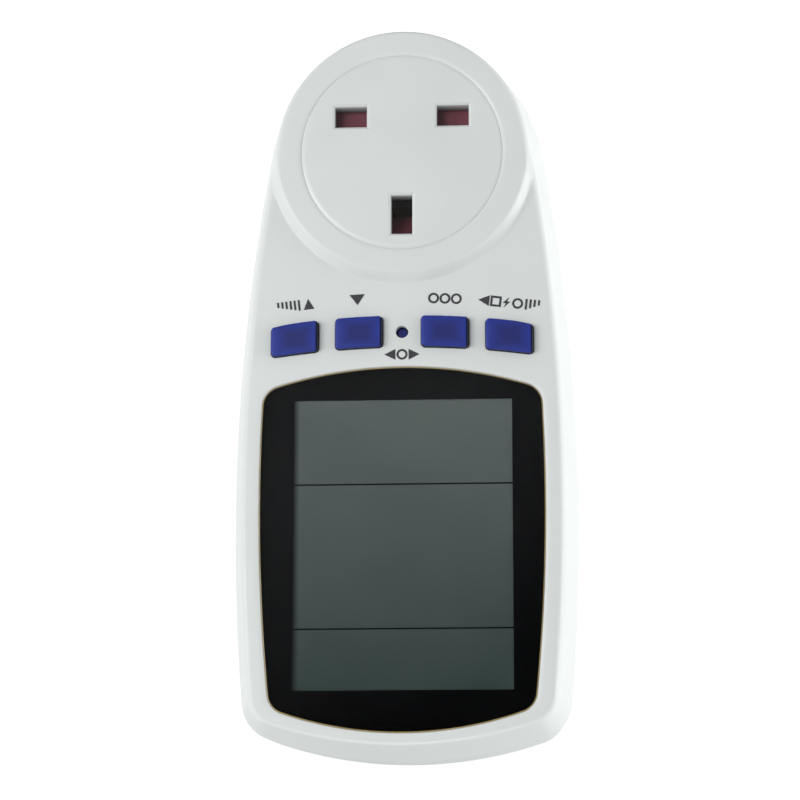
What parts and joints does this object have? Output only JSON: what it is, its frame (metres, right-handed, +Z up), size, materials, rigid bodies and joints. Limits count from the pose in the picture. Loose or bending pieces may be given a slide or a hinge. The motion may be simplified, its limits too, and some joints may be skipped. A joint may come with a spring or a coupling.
{
  "type": "plug-in power meter",
  "caption": "Plug-in power meter: round three-pin mains socket with safety shutter above a matching plug, beside a large display and a row of blue keys.",
  "frame": {"origin": "on the axis of the round socket head, in the face of the plug base that rests on the wall plate", "axes": "+Z up towards the display end as plugged into a wall socket, +Y towards the wall along the pins, -Y towards the user, +X to the right as the user faces it"},
  "size_m": [0.0746, 0.0647, 0.1609],
  "materials": {
    "case_plastic": "satin light grey-white moulding",
    "insert_plastic": "satin light grey-white moulding",
    "window_acrylic": "clear polished acrylic, slightly smoked",
    "black_ink": "black print behind the window",
    "lcd_film": "grey-green polarising film",
    "lcd_glass": "polished",
    "reflector_film": "satin",
    "frame_plastic": "matt white",
    "zebra_rubber": "matt",
    "board_laminate": "solder-mask gloss",
    "black_epoxy": "semi-gloss",
    "crystal_can": "bright drawn can",
    "battery_wrap": "shrink wrap",
    "key_rubber": "satin blue",
    "switch_plastic": "matt",
    "plunger_plastic": "matt",
    "mark_ink": "dark grey print",
    "shunt_alloy": "drawn strip",
    "capacitor_box": "moulded box",
    "capacitor_can": "sleeved can",
    "varistor_ceramic": "dipped coating",
    "ribbon_vinyl": "matt",
    "header_plastic": "matt",
    "carrier_plastic": "matt",
    "contact_brass": "bright strip",
    "pin_brass": "machined and polished",
    "sleeve_plastic": "matt",
    "shutter_plastic": "satin maroon",
    "spring_steel": "drawn wire",
    "screw_steel": "zinc plated"
  },
  "bodies": {
    "housing": {"front_housing": "case_plastic", "rear_housing": "case_plastic", "socket_insert": "insert_plastic", "display_lens": "window_acrylic", "lens_mask": "black_ink", "lcd_polariser": "lcd_film", "lcd_front_glass": "lcd_glass", "lcd_rear_glass": "lcd_glass", "lcd_reflector": "reflector_film", "lcd_frame": "frame_plastic", "zebra_strip": "zebra_rubber", "display_pcb": "board_laminate", "controller_blob": "black_epoxy", "crystal": "crystal_can", "backup_battery": "battery_wrap", "switch_bodies": "switch_plastic", "key_marks": "mark_ink", "power_pcb": "board_laminate", "shunt": "shunt_alloy", "dropper_capacitor": "capacitor_box", "smoothing_capacitor": "capacitor_can", "varistor": "varistor_ceramic", "rectifier": "black_epoxy", "ribbon_cable": "ribbon_vinyl", "ribbon_headers": "header_plastic", "contact_carrier": "carrier_plastic", "live_contact": "contact_brass", "neutral_contact": "contact_brass", "earth_contact": "contact_brass", "live_pin": "pin_brass", "neutral_pin": "pin_brass", "earth_pin": "pin_brass", "live_sleeve": "sleeve_plastic", "neutral_sleeve": "sleeve_plastic", "shutter_spring": "spring_steel", "housing_screws": "screw_steel", "pcb_screws": "screw_steel", "carrier_screws": "screw_steel"},
    "down_button": {"key_down": "key_rubber", "plunger_down": "plunger_plastic"},
    "up_button": {"key_up": "key_rubber", "plunger_up": "plunger_plastic"},
    "cost_button": {"key_cost": "key_rubber", "plunger_cost": "plunger_plastic"},
    "function_button": {"key_function": "key_rubber", "plunger_function": "plunger_plastic"},
    "reset_button": {"reset_key": "key_rubber", "plunger_reset": "plunger_plastic"},
    "safety_shutter": {"shutter": "shutter_plastic"}
  },
  "joints": [
    {"name": "down_press", "type": "slide", "parent": "housing", "child": "down_button", "axis": [0, 1, 0], "range_m": [0, 0.001], "stiffness_N_per_m": 1500, "springref_m": -0.0005},
    {"name": "up_press", "type": "slide", "parent": "housing", "child": "up_button", "axis": [0, 1, 0], "range_m": [0, 0.001], "stiffness_N_per_m": 1500, "springref_m": -0.0005},
    {"name": "cost_press", "type": "slide", "parent": "housing", "child": "cost_button", "axis": [0, 1, 0], "range_m": [0, 0.001], "stiffness_N_per_m": 1500, "springref_m": -0.0005},
    {"name": "function_press", "type": "slide", "parent": "housing", "child": "function_button", "axis": [0, 1, 0], "range_m": [0, 0.001], "stiffness_N_per_m": 1500, "springref_m": -0.0005},
    {"name": "reset_press", "type": "slide", "parent": "housing", "child": "reset_button", "axis": [0, 1, 0], "range_m": [0, 0.001], "stiffness_N_per_m": 1500, "springref_m": -0.0005},
    {"name": "shutter_slide", "type": "slide", "parent": "housing", "child": "safety_shutter", "axis": [0, 0, 1], "range_m": [0, 0.006], "stiffness_N_per_m": 250, "springref_m": -0.003, "deforming": ["shutter_spring"]}
  ]
}
